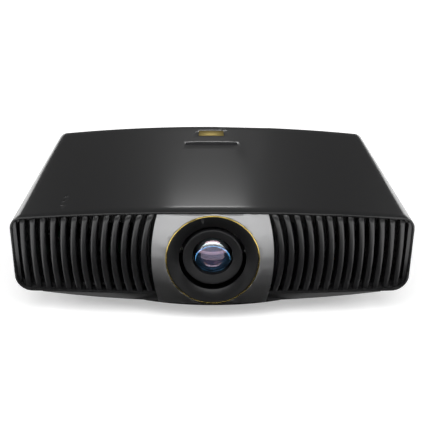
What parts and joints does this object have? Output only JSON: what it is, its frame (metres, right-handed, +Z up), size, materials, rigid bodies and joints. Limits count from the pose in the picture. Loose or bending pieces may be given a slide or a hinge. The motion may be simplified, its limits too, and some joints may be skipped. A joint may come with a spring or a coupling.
{
  "type": "home cinema projector",
  "caption": "Wide home cinema projector with a crowned case, bowed front louvres, a silver lens panel and a motorised shifting, zooming and focusing lens.",
  "frame": {"origin": "on the surface it stands on, under the middle of its overall box", "axes": "+X to the right seen from the front, -Y towards the screen, +Z up"},
  "size_m": [0.491, 0.356, 0.145],
  "materials": {
    "case_black": "fine textured black satin lacquer",
    "grille_black": "moulded black, satin",
    "fascia_silver": "brushed silver",
    "ring_gold": "polished pale gold",
    "dish_black": "glossy black",
    "lens_glass": "polished and coated",
    "window_black": "dark infra-red window",
    "light_pipe": "clear light pipe",
    "key_grey": "satin",
    "rubber": "moulded",
    "steel": "turned",
    "brass": "turned",
    "cast_metal": "die cast",
    "fin_metal": "extruded",
    "motor_black": "black",
    "gear_white": "acetal",
    "board_green": "solder mask",
    "fan_black": "moulded",
    "phosphor": "phosphor coated"
  },
  "bodies": {
    "case": {"top_cover": "case_black", "lower_housing": "case_black", "rear_panel": "case_black", "front_carrier": "case_black", "left_grille": "grille_black", "right_grille": "grille_black", "lens_fascia": "fascia_silver", "trim_ring": "ring_gold", "lens_dish": "dish_black", "badge_plate": "ring_gold", "receiver_windows": "window_black", "status_lights": "light_pipe", "keypad_frame": "window_black", "rear_feet": "rubber", "foot_inserts": "brass", "engine_base": "cast_metal", "vertical_rods": "steel", "vertical_motor": "motor_black", "vertical_screw": "steel", "engine_housing": "cast_metal", "prism": "lens_glass", "chip_board": "board_green", "chip_heatsink": "fin_metal", "laser_module": "cast_metal", "laser_heatsink": "fin_metal", "fan_frames": "fan_black", "main_board": "board_green", "power_board": "board_green", "mains_inlet": "motor_black", "io_sockets": "steel", "case_screws": "steel"},
    "left_front_pad": {"left_foot_pad": "rubber"},
    "left_front_screw": {"left_foot_screw": "steel"},
    "right_front_pad": {"right_foot_pad": "rubber"},
    "right_front_screw": {"right_foot_screw": "steel"},
    "power_button": {"power_key": "key_grey"},
    "menu_button": {"menu_key": "key_grey"},
    "ok_button": {"ok_key": "key_grey"},
    "up_button": {"up_key": "key_grey"},
    "down_button": {"down_key": "key_grey"},
    "left_button": {"left_key": "key_grey"},
    "right_button": {"right_key": "key_grey"},
    "vertical_carriage": {"vertical_stage": "cast_metal", "horizontal_rods": "steel", "horizontal_motor": "motor_black", "horizontal_screw": "steel"},
    "lens": {"horizontal_stage": "cast_metal", "lens_barrel": "motor_black", "focus_motor": "steel", "zoom_motor": "steel"},
    "focus_group": {"focus_cell": "motor_black", "front_glass": "lens_glass"},
    "focus_drive_ring": {"focus_ring": "steel"},
    "zoom_drive_ring": {"zoom_ring": "steel"},
    "zoom_group": {"zoom_cell": "motor_black"},
    "focus_motor_gear": {"focus_pinion": "gear_white"},
    "zoom_motor_gear": {"zoom_pinion": "gear_white"},
    "colour_wheel": {"phosphor_wheel": "phosphor"},
    "left_fan": {"left_rotor": "fan_black"},
    "right_fan": {"right_rotor": "fan_black"}
  },
  "joints": [
    {"name": "left_foot_height", "type": "slide", "parent": "case", "child": "left_front_pad", "axis": [0, 0, -1], "range_m": [0, 0.015]},
    {"name": "left_foot_turn", "type": "hinge", "parent": "left_front_pad", "child": "left_front_screw", "pos_m": [-0.17, -0.0882, 0.008], "axis": [0, 0, -1], "range_deg": [0, 4320]},
    {"name": "right_foot_height", "type": "slide", "parent": "case", "child": "right_front_pad", "axis": [0, 0, -1], "range_m": [0, 0.015]},
    {"name": "right_foot_turn", "type": "hinge", "parent": "right_front_pad", "child": "right_front_screw", "pos_m": [0.17, -0.0882, 0.008], "axis": [0, 0, -1], "range_deg": [0, 4320]},
    {"name": "power_press", "type": "slide", "parent": "case", "child": "power_button", "axis": [-1, 0, 0], "range_m": [0, 0.0008], "stiffness_N_per_m": 600},
    {"name": "menu_press", "type": "slide", "parent": "case", "child": "menu_button", "axis": [-1, 0, 0], "range_m": [0, 0.0008], "stiffness_N_per_m": 600},
    {"name": "ok_press", "type": "slide", "parent": "case", "child": "ok_button", "axis": [-1, 0, 0], "range_m": [0, 0.0008], "stiffness_N_per_m": 600},
    {"name": "up_press", "type": "slide", "parent": "case", "child": "up_button", "axis": [-1, 0, 0], "range_m": [0, 0.0008], "stiffness_N_per_m": 600},
    {"name": "down_press", "type": "slide", "parent": "case", "child": "down_button", "axis": [-1, 0, 0], "range_m": [0, 0.0008], "stiffness_N_per_m": 600},
    {"name": "left_press", "type": "slide", "parent": "case", "child": "left_button", "axis": [-1, 0, 0], "range_m": [0, 0.0008], "stiffness_N_per_m": 600},
    {"name": "right_press", "type": "slide", "parent": "case", "child": "right_button", "axis": [-1, 0, 0], "range_m": [0, 0.0008], "stiffness_N_per_m": 600},
    {"name": "lens_shift_vertical", "type": "slide", "parent": "case", "child": "vertical_carriage", "axis": [0, 0, 1], "range_m": [-0.003, 0.003]},
    {"name": "lens_shift_horizontal", "type": "slide", "parent": "vertical_carriage", "child": "lens", "axis": [1, 0, 0], "range_m": [-0.0022, 0.0022]},
    {"name": "focus_ring_turn", "type": "hinge", "parent": "lens", "child": "focus_drive_ring", "pos_m": [0, -0.13055, 0.083], "axis": [0, -1, 0], "range_deg": [-60, 60]},
    {"name": "focus_travel", "type": "slide", "parent": "lens", "child": "focus_group", "axis": [0, -1, 0], "range_m": [-0.0015, 0.0015]},
    {"name": "focus_pinion_turn", "type": "hinge", "parent": "lens", "child": "focus_motor_gear", "pos_m": [-0.0448, -0.13055, 0.083], "axis": [0, -1, 0], "range_deg": [-360, 360]},
    {"name": "zoom_ring_turn", "type": "hinge", "parent": "lens", "child": "zoom_drive_ring", "pos_m": [0, -0.11255, 0.083], "axis": [0, -1, 0], "range_deg": [-45, 45]},
    {"name": "zoom_travel", "type": "slide", "parent": "lens", "child": "zoom_group", "axis": [0, -1, 0], "range_m": [-0.012, 0.012]},
    {"name": "zoom_pinion_turn", "type": "hinge", "parent": "lens", "child": "zoom_motor_gear", "pos_m": [0.0448, -0.11255, 0.083], "axis": [0, -1, 0], "range_deg": [-270, 270]},
    {"name": "colour_wheel_spin", "type": "hinge", "parent": "case", "child": "colour_wheel", "pos_m": [0.086, -0.00455, 0.061], "axis": [1, 0, 0], "continuous": true},
    {"name": "left_fan_spin", "type": "hinge", "parent": "case", "child": "left_fan", "pos_m": [-0.176, -0.1279, 0.082], "axis": [0, 1, 0], "continuous": true},
    {"name": "right_fan_spin", "type": "hinge", "parent": "case", "child": "right_fan", "pos_m": [0.176, -0.1279, 0.082], "axis": [0, 1, 0], "continuous": true}
  ],
  "couplings": [
    {"joint": "left_foot_turn", "follows": "left_foot_height", "rad_per_m": 5026.5},
    {"joint": "right_foot_turn", "follows": "right_foot_height", "rad_per_m": 5026.5},
    {"joint": "focus_travel", "follows": "focus_ring_turn", "m_per_rad": 0.001432},
    {"joint": "focus_pinion_turn", "follows": "focus_ring_turn", "ratio": -6},
    {"joint": "zoom_travel", "follows": "zoom_ring_turn", "m_per_rad": 0.01527},
    {"joint": "zoom_pinion_turn", "follows": "zoom_ring_turn", "ratio": -6}
  ]
}
